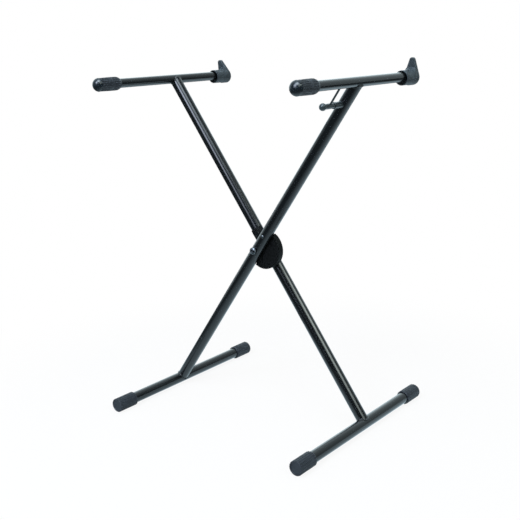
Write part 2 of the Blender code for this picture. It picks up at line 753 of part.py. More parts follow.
def release():
    """Lever, pull rod and pin, which slide together up the front leg."""
    inside = -leg_y
    eye = eye_length / 2
    lever_hole = lever_d / 2 + fit
    pin_hole = pin_d / 2 + fit

    head_y = -leg_outer - fit
    add(
        "lock_pin",
        turned([
            (head_y - pin_head, pin_head_d * 0.36), (head_y - 0.7 * pin_head, pin_head_d * 0.46),
            (head_y, pin_head_d / 2), (head_y, pin_d / 2), (plate_back - fit, pin_d / 2),
        ], bore_sides),
        release_body, plated_steel, at=(0, 0, pin_up),
    )
    rod = add(
        "pull_rod",
        turned([(pin_up, pull_rod_d / 2), (lever_up, pull_rod_d / 2)], 12, "Z"),
        release_body, plated_steel, at=(0, inside, 0),
    )
    for name, hole, up in (("pin", pin_hole, pin_up), ("lever", lever_hole, lever_up)):
        boss = turned([(inside - eye, hole + eye_wall), (inside + eye, hole + eye_wall)], bore_sides)
        bore = turned([(inside - 2 * eye, hole), (inside + 2 * eye, hole)], bore_sides)
        join(rod, add(f"{name}_eye", boss, release_body, at=(0, 0, up)))
        cut(rod, add(f"{name}_eye_hole", bore, release_body, at=(0, 0, up)))

    ball = ball_d / 2
    neck = 0.42 * lever_d
    collar_end = head_y - lever_collar_length
    grip_end = ball_y + 0.8 * ball
    stem = add(
        "release_lever",
        turned([
            (inside + eye, lever_d / 2), (collar_end - fit, lever_d / 2), (collar_end - fit, grip_d / 2),
            (grip_end + ball, grip_d / 2), (grip_end, 0.46 * grip_d), (grip_end, neck), (ball_y, neck),
        ], bore_sides),
        release_body, lever_paint, at=(0, 0, lever_up),
    )
    side_hole = guide_rod_d / 2 + fit
    cut(stem, add(
        "stem_side_hole", turned([(-grip_d, side_hole), (grip_d, side_hole)], 12, "Z"),
        release_body, at=(0, guide_rod_y, lever_up),
    ))
    radius = lever_collar_d / 2
    collar = add(
        "lever_collar",
        turned([
            (-leg_y - leg_d / 4, lever_hole), (-leg_y - leg_d / 4, radius), (collar_end + 0.0012, radius),
            (collar_end, radius - 0.0012), (collar_end, lever_hole),
        ], bore_sides, loop=True),
        release_body, lever_paint, at=(0, 0, lever_up),
    )
    slide = leg_d / 2 + run
    cut(collar, add(
        "collar_saddle", turned([(-2 * radius, slide), (2 * radius, slide)], steel_sides, "Z"),
        release_body, at=(0, -leg_y, lever_up),
    ))
    knob = add("lever_ball", sphere(ball, 20, 12), release_body, lever_paint, at=(0, ball_y, lever_up))
    socket = [
        (ball_y - fit, neck + fit), (grip_end - fit, neck + fit),
        (grip_end - fit, ball), (ball_y + 2 * ball, ball),
    ]
    cut(knob, add("ball_socket", turned(socket, bore_sides), release_body, at=(0, 0, lever_up)))
    rod_top = leg_upper + guide_rod_over
    add(
        "lever_guide_rod",
        turned([
            (lever_up - 0.4 * grip_d, guide_rod_d / 2), (rod_top - 0.001, guide_rod_d / 2),
            (rod_top, guide_rod_d * 0.35),
        ], 12, "Z"),
        release_body, lever_paint, at=(0, guide_rod_y, 0),
    )

    # Openings for the gear in the front leg and in the arm above it
    wall = leg_y + leg_d
    reach = release_travel + run
    lever_slot = slot(2 * lever_hole, 2 * lever_hole + reach, -wall, inside, lever_up + release_travel / 2)
    pin_slot = slot(2 * pin_hole, 2 * pin_hole + reach, -wall, 0, pin_up + release_travel / 2)
    cut(front_leg, add("lever_slot", lever_slot, front_body), add("pin_slot", pin_slot, front_body))
    rod_hole = turned([(leg_upper - arm_d, side_hole), (leg_upper, side_hole)], 12, "Z")
    cut(right_arm, add("guide_rod_hole", rod_hole, front_body, at=(0, guide_rod_y, 0)))


def sphere(radius, sides, bands):
    """Ball about the origin, with its poles on the Y axis."""
    profile = [(-radius, 0.0)]
    for i in range(1, bands):
        lean = math.pi * i / bands
        profile.append((-radius * math.cos(lean), radius * math.sin(lean)))
    profile.append((radius, 0.0))
    return turned(profile, sides)


def spring_gear():
    """Guide plug in the front leg, the rod's collar below it and the spring between."""
    bore = pull_rod_d / 2 + fit
    inside = leg_d / 2 - leg_wall - fit
    add(
        "rod_guide", pipe(guide_up, guide_up + guide_length, inside, bore, steel_sides, "Z"),
        front_body, cover_plastic, at=(0, -leg_y, 0),
    )
    top = guide_up - fit
    bottom = top - spring_length
    add(
        "spring_collar",
        pipe(bottom - fit - spring_collar_h, bottom - fit, spring_collar_d / 2, bore, bore_sides, "Z"),
        release_body, plated_steel, at=(0, -leg_y, 0),
    )
    wire = spring_wire / 2
    radius = spring_d / 2 - wire
    low, high = bottom + wire, top - wire
    per_turn = 8
    count = spring_turns * per_turn
    coil = bpy.data.curves.new("return_spring", "CURVE")
    coil.dimensions = "3D"
    coil.bevel_depth = wire
    coil.bevel_resolution = 1
    coil.use_fill_caps = True
    line = coil.splines.new("POLY")
    line.points.add(count)
    for i, point in enumerate(line.points):
        turn = 2 * math.pi * i / per_turn
        point.co = (radius * math.cos(turn), radius * math.sin(turn), low + (high - low) * i / count, 1)
    coil.materials.append(spring_steel)
    made = bpy.data.objects.new("return_spring", coil)
    bpy.context.collection.objects.link(made)
    made.parent = front_body
    made.location = (0, -leg_y, 0)
    least = (high - low) / spring_turns - 2 * wire
    print(f"return spring: {spring_turns} turns, least gap between turns {least * 1000:.2f} mm")


release()
spring_gear()
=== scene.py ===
import json

import bmesh
import bpy
import numpy as np
from mathutils import Matrix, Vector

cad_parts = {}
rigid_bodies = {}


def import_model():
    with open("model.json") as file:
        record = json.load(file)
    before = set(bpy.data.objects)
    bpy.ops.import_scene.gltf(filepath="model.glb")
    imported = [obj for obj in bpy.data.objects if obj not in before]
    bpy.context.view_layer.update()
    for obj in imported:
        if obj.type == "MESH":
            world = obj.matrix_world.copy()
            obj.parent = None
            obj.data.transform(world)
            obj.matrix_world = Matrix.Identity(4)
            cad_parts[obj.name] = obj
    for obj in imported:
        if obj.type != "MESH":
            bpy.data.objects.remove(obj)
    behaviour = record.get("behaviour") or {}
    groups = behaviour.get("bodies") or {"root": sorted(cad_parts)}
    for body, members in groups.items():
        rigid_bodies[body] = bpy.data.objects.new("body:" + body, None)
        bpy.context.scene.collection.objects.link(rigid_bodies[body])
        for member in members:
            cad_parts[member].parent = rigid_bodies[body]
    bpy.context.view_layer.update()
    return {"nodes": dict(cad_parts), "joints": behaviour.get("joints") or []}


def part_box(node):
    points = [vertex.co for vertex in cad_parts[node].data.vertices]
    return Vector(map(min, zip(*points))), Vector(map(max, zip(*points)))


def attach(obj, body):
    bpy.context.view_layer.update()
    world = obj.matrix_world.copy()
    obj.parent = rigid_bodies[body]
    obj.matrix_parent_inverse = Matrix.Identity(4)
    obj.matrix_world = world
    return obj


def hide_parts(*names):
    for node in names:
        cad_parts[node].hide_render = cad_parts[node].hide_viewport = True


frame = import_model()
for old in [o for o in bpy.data.objects if o.type in ("CAMERA", "LIGHT") or o.name == "Cube"]:
    bpy.data.objects.remove(old, do_unlink=True)
print("frame loaded:", len(frame["nodes"]), "parts")

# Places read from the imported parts

joints = {joint["name"]: joint for joint in frame["joints"]}
pivot = np.array(joints["fold"]["pos_m"], float)
rightArm = np.array(joints["right_stop_turn"]["pos_m"], float)
leftArm = np.array(joints["left_stop_turn"]["pos_m"], float)
splay = np.arctan2(rightArm[0] - pivot[0], rightArm[2] - pivot[2])
legUpper = np.hypot(rightArm[0] - pivot[0], rightArm[2] - pivot[2])


def middle(node):
    # halfway between the corners of a part's box
    low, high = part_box(node)
    return (np.array(low) + np.array(high)) / 2


rightFoot = middle("right_foot_tube")
leftFoot = middle("left_foot_tube")
legLower = np.hypot(rightFoot[0] - pivot[0], rightFoot[2] - pivot[2])
frontLegY = middle("front_leg_tube")[1]
rearLegY = middle("rear_leg_tube")[1]


def legFrame(lean):
    # columns: across the leg, along Y, up the leg
    return np.array([
        [np.cos(lean), 0, np.sin(lean)],
        [0, 1, 0],
        [-np.sin(lean), 0, np.cos(lean)],
    ])


frontLean, rearLean = legFrame(splay), legFrame(-splay)
upright = legFrame(0.0)


# Surfaces

def place(points, turn, origin):
    # points turned by a matrix and then moved
    return points @ turn.T + np.asarray(origin)


def skin(name, rings, wrap=False, smooth=40):
    # Rings of points, one row for each station, joined to a closed surface. With wrap the last
    # ring joins the first, and otherwise each end closes on one point in its middle.
    rows, count = rings.shape[:2]
    points = rings.reshape(-1, 3)
    here = np.arange(rows * count).reshape(rows, count)
    beside = np.roll(here, -1, axis=1)
    if wrap:
        above, aboveBeside = np.roll(here, -1, axis=0), np.roll(beside, -1, axis=0)
        faces = np.stack([here, beside, aboveBeside, above], -1).reshape(-1, 4).tolist()
    else:
        faces = np.stack([here[:-1], beside[:-1], beside[1:], here[1:]], -1).reshape(-1, 4).tolist()
        poles = np.array([rings[0].mean(0), rings[-1].mean(0)])
        points = np.concatenate([points, poles])
        first, last = rows * count, rows * count + 1
        faces += np.stack([beside[0], here[0], np.full(count, first)], -1).tolist()
        faces += np.stack([here[-1], beside[-1], np.full(count, last)], -1).tolist()
    mesh = bpy.data.meshes.new(name)
    mesh.from_pydata(points.tolist(), [], faces)
    work = bmesh.new()
    work.from_mesh(mesh)
    bmesh.ops.remove_doubles(work, verts=work.verts, dist=1e-7)
    bmesh.ops.recalc_face_normals(work, faces=work.faces)
    work.to_mesh(mesh)
    work.free()
    mesh.shade_smooth()
    mesh.set_sharp_from_angle(angle=np.radians(smooth))
    piece = bpy.data.objects.new(name, mesh)
    bpy.context.scene.collection.objects.link(piece)
    return piece


def lathe(profile, sides=96, axis="Y", shape=None):
    # A profile of (along, radius) pairs turned round an axis. shape(turn, row) may scale the
    # radius round the ring. Angles run from +Z towards +X about Y, or from +X about Z.
    profile = np.array(profile, float)
    turn = np.arange(sides) * 2 * np.pi / sides
    radius = np.repeat(profile[:, 1:2], sides, axis=1)
    if shape is not None:
        radius = shape(radius, turn, profile)
    along = np.repeat(profile[:, :1], sides, axis=1)
    if axis == "Y":
        return np.stack([radius * np.sin(turn), along, radius * np.cos(turn)], -1)
    return np.stack([radius * np.cos(turn), radius * np.sin(turn), along], -1)


def arcPoints(centre, radius, start, end, steps):
    # quarter rounds and other arcs for profiles, in degrees
    turn = np.radians(np.linspace(start, end, steps))
    return [(centre[0] + radius * np.cos(t), centre[1] + radius * np.sin(t)) for t in turn]


def finishPiece(piece, material, body, replaces=()):
    # a piece gets its finish, the body it moves with and the parts it stands for
    piece.data.materials.append(material)
    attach(piece, body)
    if replaces:
        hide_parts(*replaces)
    return piece


# Materials

def linear(hexColour):
    # sRGB hex to linear red, green, blue and alpha
    parts = np.array([int(hexColour[i:i + 2], 16) for i in (1, 3, 5)]) / 255
    return (*np.where(parts <= 0.04045, parts / 12.92, ((parts + 0.055) / 1.055) ** 2.4), 1.0)


def newMaterial(name):
    # the material, its node tree and its shader
    material = bpy.data.materials.new(name)
    material.use_nodes = True
    return material, material.node_tree, material.node_tree.nodes["Principled BSDF"]


def addNode(tree, kind, links=(), stops=(), **settings):
    # links are (input name, socket) pairs, stops the (position, colour) pairs of a colour ramp,
    # and settings the node's own values or its inputs
    node = tree.nodes.new(kind)
    for name, value in settings.items():
        if hasattr(node, name):
            setattr(node, name, value)
        else:
            node.inputs[name.replace("_", " ")].default_value = value
    for name, socket in links:
        tree.links.new(socket, node.inputs[name])
    if stops:
        elements = node.color_ramp.elements
        while len(elements) < len(stops):
            elements.new(0.5)
        for element, (position, colour) in zip(elements, stops):
            element.position = position
            element.color = colour
    return node


def grey(value):
    # a number as a colour of a ramp
    return (value, value, value, 1.0)


powderCoat = {"base": "#0d0f11", "thin": "#121517", "roughness": (0.16, 0.20), "cloudMm": 71.4}


def powderCoatedSteel():
    # Polyester powder, baked: an even semi-gloss black. Its orange peel is too fine to show, so
    # it only softens the gloss, a little more in some places than in others.
    material, tree, shader = newMaterial("powderCoatedSteel")
    where = addNode(tree, "ShaderNodeTexCoord").outputs["Object"]
    scale = 1000 / powderCoat["cloudMm"]
    cloud = addNode(tree, "ShaderNodeTexNoise", [("Vector", where)], Scale=scale, Detail=3.0)
    fac = [("Fac", cloud.outputs["Fac"])]
    base, thin = linear(powderCoat["base"]), linear(powderCoat["thin"])
    colour = addNode(tree, "ShaderNodeValToRGB", fac, [(0.3, base), (0.75, thin)])
    tree.links.new(colour.outputs["Color"], shader.inputs["Base Color"])
    low, high = powderCoat["roughness"]
    rough = addNode(tree, "ShaderNodeValToRGB", fac, [(0.25, grey(low)), (0.8, grey(high))])
    tree.links.new(rough.outputs["Color"], shader.inputs["Roughness"])
    return material


rubber = {
    "mouldedRubber": {"base": "#2a2e34", "dust": "#353a40"},
    "mouldedStopRubber": {"base": "#333a3f", "dust": "#3e464b"},
    "roughness": (0.42, 0.5), "gloss": 0.22, "dustMm": 16.7, "grainMm": 2.38, "grainDepth": 0.0003,
}


def mouldedRubber(name):
    # Injection moulded rubber with carbon black: matt, with a bloom of dust and a mould grain,
    # which is drawn coarser than the real one so that it shows
    material, tree, shader = newMaterial(name)
    where = addNode(tree, "ShaderNodeTexCoord").outputs["Object"]
    scale = 1000 / rubber["dustMm"]
    cloud = addNode(tree, "ShaderNodeTexNoise", [("Vector", where)], Scale=scale, Detail=5.0, Roughness=0.6)
    fac = [("Fac", cloud.outputs["Fac"])]
    base, dust = linear(rubber[name]["base"]), linear(rubber[name]["dust"])
    colour = addNode(tree, "ShaderNodeValToRGB", fac, [(0.35, base), (0.75, dust)])
    tree.links.new(colour.outputs["Color"], shader.inputs["Base Color"])
    low, high = rubber["roughness"]
    rough = addNode(tree, "ShaderNodeValToRGB", fac, [(0.3, grey(low)), (0.7, grey(high))])
    tree.links.new(rough.outputs["Color"], shader.inputs["Roughness"])
    shader.inputs["Specular IOR Level"].default_value = rubber["gloss"]
    scale = 1000 / rubber["grainMm"]
    grain = addNode(tree, "ShaderNodeTexNoise", [("Vector", where)], Scale=scale, Detail=2.0)
    height = [("Height", grain.outputs["Fac"])]
    bump = addNode(tree, "ShaderNodeBump", height, Strength=0.03, Distance=rubber["grainDepth"])
    tree.links.new(bump.outputs["Normal"], shader.inputs["Normal"])
    return material


plainSkins = {
    # colour, middle roughness and gloss, where 0.5 is that of bare plastic
    "polishedPvc": ("#141b20", 0.31, 0.5),
    "mattAbs": ("#080909", 0.65, 0.12),
    "stovedEnamel": ("#262d2f", 0.26, 0.5),
    "mouldedPhenolic": ("#303a3d", 0.28, 0.5),
}
skinCloudMm = 25.0


def plainSkin(name):
    # Moulded plastic, or enamel baked on: one colour whose gloss changes a little from place to
    # place. The grain of the mould is too fine to show.
    base, roughness, gloss = plainSkins[name]
    material, tree, shader = newMaterial(name)
    where = addNode(tree, "ShaderNodeTexCoord").outputs["Object"]
    shader.inputs["Base Color"].default_value = linear(base)
    shader.inputs["Specular IOR Level"].default_value = gloss
    cloud = addNode(tree, "ShaderNodeTexNoise", [("Vector", where)], Scale=1000 / skinCloudMm, Detail=4.0)
    rough = addNode(tree, "ShaderNodeValToRGB", [("Fac", cloud.outputs["Fac"])], [
        (0.3, grey(roughness * 0.85)), (0.7, grey(roughness * 1.15)),
    ])
    tree.links.new(rough.outputs["Color"], shader.inputs["Roughness"])
    return material


platings = {
    # dark and pale colour, and middle roughness
    "darkZincPlate": ("#34393c", "#8b9195", 0.34),
    "drawnSpringWire": ("#777c80", "#8b9195", 0.25),
}
plateBlotchMm = 5.56


def platedSteel(name):
    # Zinc plated steel, or bare drawn wire: a soft metal sheen with fine blotches
    dark, pale, roughness = platings[name]
    material, tree, shader = newMaterial(name)
    where = addNode(tree, "ShaderNodeTexCoord").outputs["Object"]
    shader.inputs["Metallic"].default_value = 1.0
    cloud = addNode(tree, "ShaderNodeTexNoise", [("Vector", where)], Scale=1000 / plateBlotchMm, Detail=4.0)
    fac = [("Fac", cloud.outputs["Fac"])]
    colour = addNode(tree, "ShaderNodeValToRGB", fac, [(0.3, linear(dark)), (0.8, linear(pale))])
    tree.links.new(colour.outputs["Color"], shader.inputs["Base Color"])
    low, high = roughness * 0.8, roughness * 1.3
    rough = addNode(tree, "ShaderNodeValToRGB", fac, [(0.3, grey(low)), (0.7, grey(high))])
    tree.links.new(rough.outputs["Color"], shader.inputs["Roughness"])
    return material


coated = powderCoatedSteel()
capRubber, stopSkin = mouldedRubber("mouldedRubber"), mouldedRubber("mouldedStopRubber")
domePvc, blackAbs = plainSkin("polishedPvc"), plainSkin("mattAbs")
leverEnamel, ballPhenolic = plainSkin("stovedEnamel"), plainSkin("mouldedPhenolic")
zincDark, springWire = platedSteel("darkZincPlate"), platedSteel("drawnSpringWire")

nodeFinish = {
    coated: ["lock_plate"],
    blackAbs: ["pivot_cover", "pivot_sleeve", "rod_guide"],
    zincDark: [
        "plate_rivet_lower", "plate_rivet_upper", "rear_leg_bush", "front_leg_bush",
        "pivot_washer", "pivot_nut", "pull_rod", "spring_collar",
    ],
    springWire: ["return_spring"],
}
for material, names in nodeFinish.items():
    for name in names:
        node = frame["nodes"][name]
        node.data.materials.clear()
        node.data.materials.append(material)
print("materials made:", len(bpy.data.materials))


# Tubes

legTube = {"diameter": 0.0286, "wall": 0.0015, "armSaddle": 0.0030, "footSaddle": 0.0060}
armTube = {"diameter": 0.0225, "wall": 0.0012}
footTube = {"diameter": 0.0280, "wall": 0.0015}
gap = 0.0003


def legTubeRings(lower, upper, sides=96, stations=40):
    # A tube wall round +Z, whose two ends follow the arm and the foot that cross them:
    # an end lies sqrt(R^2 - x^2) short of the crossing axis, or the saddle's depth if that is more.
    turn = np.arange(sides) * 2 * np.pi / sides

    def ends(radius):
        # the heights of both ends round a wall of this radius
        x = radius * np.cos(turn)
        arm = (armTube["diameter"] / 2 + gap) ** 2 - x ** 2
        foot = (footTube["diameter"] / 2 + gap) ** 2 - x ** 2
        high = upper - np.sqrt(np.maximum(arm, legTube["armSaddle"] ** 2))
        low = -lower + np.sqrt(np.maximum(foot, legTube["footSaddle"] ** 2))
        return low, high

    walls = []
    for radius, share in (
        (legTube["diameter"] / 2, np.linspace(0, 1, stations)),
        (legTube["diameter"] / 2 - legTube["wall"], np.linspace(1, 0, stations)),
    ):
        low, high = ends(radius)
        z = low + share[:, None] * (high - low)
        x = np.broadcast_to(radius * np.cos(turn), z.shape)
        y = np.broadcast_to(radius * np.sin(turn), z.shape)
        walls.append(np.stack([x, y, z], -1))
    return np.concatenate(walls)


def straightTube(tube, start, end, sides=72):
    # a tube wall along Y: the outer radius out and the inner radius back
    outer, inner = tube["diameter"] / 2, tube["diameter"] / 2 - tube["wall"]
    along = np.linspace(start, end, 12)
    profile = [(y, outer) for y in along] + [(y, inner) for y in along[::-1]]
    return lathe(profile, sides)


def addLegs():
    # each leg stands in its own frame, whose origin is where its axis passes the pivot
    for name, lean, y, body in (
        ("front_leg", frontLean, frontLegY, "front_frame"),
        ("rear_leg", rearLean, rearLegY, "rear_frame"),
    ):
        rings = place(legTubeRings(legLower, legUpper), lean, (pivot[0], y, pivot[2]))
        leg = skin(f"{name}_coated", rings, wrap=True)
        finishPiece(leg, coated, body, [f"{name}_tube"])


def addCrossTubes():
    # arms and feet lie level along Y, from end to end of their CAD parts
    for node, axis, tube, body in (
        ("left_arm_tube", leftArm, armTube, "rear_frame"),
        ("right_arm_tube", rightArm, armTube, "front_frame"),
        ("left_foot_tube", leftFoot, footTube, "front_frame"),
        ("right_foot_tube", rightFoot, footTube, "rear_frame"),
    ):
        low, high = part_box(node)
        rings = place(straightTube(tube, low[1], high[1]), upright, (axis[0], 0, axis[2]))
        piece = skin(node.replace("tube", "coated"), rings, wrap=True)
        finishPiece(piece, coated, body, [node])


weld = {
    "radius": 0.0017, "earRadius": 0.0023, "ripple": 0.00014, "ripples": 34, "earFrom": 0.86,
    "earReach": 0.0012, "earTuck": 0.06, "lift": 0.0004, "armShare": 0.7,
}


def weldRings(tube, reach, sign, depth):
    # A bead round +Z along the line where the leg meets the tube that crosses it. Its centre stays
    # on that tube's surface and fills the gap beside the ears, and its radius ripples.
    steps, sides = 240, 14
    turn = np.arange(steps) * 2 * np.pi / steps
    legR = legTube["diameter"] / 2
    tubeR = tube["diameter"] / 2
    x = legR * np.cos(turn)
    earFrom = tubeR * weld["earFrom"]
    ear = np.clip((np.abs(x) - earFrom) / (legR - earFrom), 0, 1)
    x = np.sign(x) * np.minimum(np.abs(x), tubeR + weld["earReach"])
    drop = np.sqrt(np.maximum((tubeR + weld["lift"]) ** 2 - x ** 2, depth ** 2))
    y = legR * np.sin(turn) * (1 - weld["earTuck"] * ear)
    centre = np.stack([x, y, sign * (reach - drop)], -1)
    along = np.roll(centre, -1, axis=0) - np.roll(centre, 1, axis=0)
    along /= np.linalg.norm(along, axis=1, keepdims=True)
    out = np.stack([np.cos(turn), np.sin(turn), np.zeros(steps)], -1)
    out -= along * (out * along).sum(1, keepdims=True)
    out /= np.linalg.norm(out, axis=1, keepdims=True)
    up = np.cross(along, out)
    radius = weld["radius"] + (weld["earRadius"] - weld["radius"]) * ear
    radius = radius + weld["ripple"] * np.cos(weld["ripples"] * turn)
    around = np.arange(sides) * 2 * np.pi / sides
    ring = out[:, None] * np.cos(around)[None, :, None] + up[:, None] * np.sin(around)[None, :, None]
    return centre[:, None] + ring * radius[:, None, None]


def addWelds():
    # one bead at each end of each leg
    for leg, lean, y, body in (
        ("front", frontLean, frontLegY, "front_frame"),
        ("rear", rearLean, rearLegY, "rear_frame"),
    ):
        for end, tube, reach, sign, depth in (
            ("arm", armTube, legUpper, 1, legTube["armSaddle"] * weld["armShare"]),
            ("foot", footTube, legLower, -1, legTube["footSaddle"]),
        ):
            rings = place(weldRings(tube, reach, sign, depth), lean, (pivot[0], y, pivot[2]))
            bead = skin(f"{leg}_{end}_weld", rings, wrap=True)
            finishPiece(bead, coated, body, ())


addLegs()
addCrossTubes()
addWelds()
print("tubes and welds made")


# Ribbed caps

ribs = {"count": 20, "depth": 0.0010, "crest": (-0.35, 0.35)}
footCap = {
    "diameter": 0.0359, "length": 0.0580, "rim": 0.0026, "sink": 0.0014,
    "edge": 0.0014, "bore": 0.0283, "wall": 0.0040,
}


def ribProfile(turn, phase=0.0):
    # 1 on a crest and 0 in a groove, with soft shoulders, and a crest on +Z
    wave = np.cos(ribs["count"] * turn + phase)
    low, high = ribs["crest"]
    t = np.clip((wave - low) / (high - low), 0, 1)
    return t * t * (3 - 2 * t)


def ribbedLathe(rows, sides=400):
    # rows are (along, radius, groove depth, phase): the radius drops by the depth in each groove
    rows = np.array(rows, float)
    turn = np.arange(sides) * 2 * np.pi / sides
    crest = ribProfile(turn[None, :], rows[:, 3:4])
    radius = rows[:, 1:2] - rows[:, 2:3] * (1 - crest)
    along = np.broadcast_to(rows[:, :1], radius.shape)
    return np.stack([radius * np.sin(turn), along, radius * np.cos(turn)], -1)


def footCapRings():
    # Closed end at -Y, mouth at 0: up the bore, round the mouth, down the ribs and over the end face
    crest, bore, length = footCap["diameter"] / 2, footCap["bore"] / 2, footCap["length"]
    edge, depth = footCap["edge"], ribs["depth"]
    rows = [(-length + footCap["wall"], bore, 0, 0), (0, bore, 0, 0), (0, bore + 0.0008, 0, 0)]
    for t in np.linspace(0, 1, 6):
        rows.append((-edge * t, crest - depth * 0.9 * (1 - t) - edge * 0.6 * (1 - t) ** 2, depth * t, 0))
    rows += [(y, crest, depth, 0) for y in np.linspace(-0.0040, -length + 0.0045, 8)]
    for t in np.radians(np.linspace(0, 90, 8)):
        along, radius = -length + edge - edge * np.sin(t), crest - edge * (1 - np.cos(t))
        rows.append((along, radius, depth * np.cos(t) ** 2, 0))
    face = crest - edge - footCap["rim"]
    rows += [(-length, face + 0.0006, 0, 0), (-length, face + 0.0003, 0, 0)]
    rows += [(-length + footCap["sink"] * 0.3, face, 0, 0), (-length + footCap["sink"], face - 0.0005, 0, 0)]
    rows += [(-length + footCap["sink"], face * 0.5, 0, 0)]
    return ribbedLathe(rows)


def addFootCaps():
    # the same cap four times, mirrored along Y for the rear ends
    for side, axis, body in (("right", rightFoot, "rear_frame"), ("left", leftFoot, "front_frame")):
        for end, sign in (("front", 1), ("rear", -1)):
            node = f"{side}_foot_{end}_cap"
            low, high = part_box(node)
            mouth = high[1] if sign > 0 else low[1]
            rings = footCapRings() * np.array([1, sign, 1])
            piece = skin(f"{side}_foot_{end}_rubber", place(rings, upright, (axis[0], mouth, axis[2])))
            finishPiece(piece, capRubber, body, [node])


armCap = {
    "diameter": 0.0328, "nose": 0.0315, "skirt": 0.0520, "level": 0.0180, "taper": 0.0115,
    "bore": 0.0228, "domeRadius": 0.0165, "domeHeight": 0.0138, "stagger": 0.66,
}


def armCapRings():
    # Dome end at 0 and mouth at +Y: from the seat of the dome along the ribs, which shift by half
    # a pitch in the last third, down the taper to the mouth and back along the bore
    crest, nose, depth = armCap["diameter"] / 2, armCap["nose"] / 2, ribs["depth"]
    skirt, mouth = armCap["skirt"], armCap["skirt"] + armCap["taper"]
    rows = [(0.0005, nose - 0.0050, 0, 0), (0.0002, nose - 0.0020, 0, 0), (0.0008, nose, depth * 0.6, 0)]
    for share in np.concatenate([np.linspace(0.03, 0.62, 8), np.linspace(0.66, 1.0, 6)]):
        phase = 0 if share < armCap["stagger"] - 0.02 else np.pi
        swell = nose + (crest - nose) * min(1, share * skirt / (skirt - armCap["level"]))
        groove = depth * (0.15 if abs(share - 0.64) < 0.021 else 1.0)
        rows.append((skirt * share, swell, groove, phase))
    lip = armCap["bore"] / 2 + 0.0013
    for t in np.linspace(0.08, 1, 10):
        ease = 1 - np.cos(t * np.pi / 2)
        rows.append((skirt + armCap["taper"] * t, crest + (lip - crest) * ease, depth * (1 - t) ** 2, np.pi))
    rows += [(mouth + 0.0002, armCap["bore"] / 2 + 0.0007, 0, 0), (mouth, armCap["bore"] / 2, 0, 0)]
    rows += [(0.0030, armCap["bore"] / 2, 0, 0)]
    return ribbedLathe(rows)


def domeRings():
    # A shallow cap of a ball on a short spigot, its rim a little proud of the ribs behind it
    ball, height = armCap["domeRadius"], armCap["domeHeight"]
    rim = np.sqrt(ball ** 2 - (ball - height) ** 2)
    profile = [(0.0002, 0.0060), (0.0002, rim - 0.0010), (-0.0001, rim - 0.0003), (-0.0005, rim)]
    lean = np.arccos((ball - height) / ball)
    for t in np.linspace(1, 0.04, 28):
        profile.append((-0.0006 - ball * np.cos(lean * t) + (ball - height), ball * np.sin(lean * t)))
    return lathe(profile, 96)


def addArmCaps():
    # a ribbed grip and its dome on the front end of each arm
    for side, axis, body in (("right", rightArm, "front_frame"), ("left", leftArm, "rear_frame")):
        low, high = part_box(f"{side}_arm_front_cap")
        seat = high[1] - armCap["skirt"] - armCap["taper"]
        piece = skin(f"{side}_arm_grip", place(armCapRings(), upright, (axis[0], seat, axis[2])))
        finishPiece(piece, capRubber, body, [f"{side}_arm_front_cap"])
        dome = skin(f"{side}_arm_dome", place(domeRings(), upright, (axis[0], seat, axis[2])))
        finishPiece(dome, domePvc, body, ())


stop = {
    "diameter": 0.0346, "round": 0.0373, "drop": 0.0020, "height": 0.04329, "tip": 0.00618,
    "plate": 0.0100, "mouthWall": 0.0018, "mouthDepth": 0.0085, "flare": 0.0240,
    "flareLength": 0.0200, "lip": 0.0016, "lipRise": 0.0010, "edge": 0.0014, "bore": 0.0231,
}
stopLean = {"left": np.radians(-22.0), "right": np.radians(2.5)}


def droppedCircle(radius, turn):
    # distance from the arm's axis to a circle whose centre lies below that axis
    return np.sqrt(radius ** 2 - (stop["drop"] * np.sin(turn)) ** 2) - stop["drop"] * np.cos(turn)


def stopOutline(turn, inset):
    # Outline of a big and a small circle with their tangents, as a radius about the arm's axis
    big, small = stop["round"] / 2 - inset, stop["tip"] - inset
    centre = stop["height"] - stop["tip"]
    turn = np.abs(np.arctan2(np.sin(turn), np.cos(turn)))
    slope = np.arcsin((big - small) / (centre + stop["drop"]))
    onTip = turn <= np.arctan2(small * np.cos(slope), centre + small * np.sin(slope))
    onRound = turn >= np.arctan2(big * np.cos(slope), big * np.sin(slope) - stop["drop"])
    tip = centre * np.cos(turn) + np.sqrt(np.maximum(small ** 2 - (centre * np.sin(turn)) ** 2, 0))
    side = (big - stop["drop"] * np.sin(slope)) / np.sin(np.maximum(turn, 0.05) + slope)
    return np.where(onRound, droppedCircle(big, turn), np.where(onTip, tip, side))


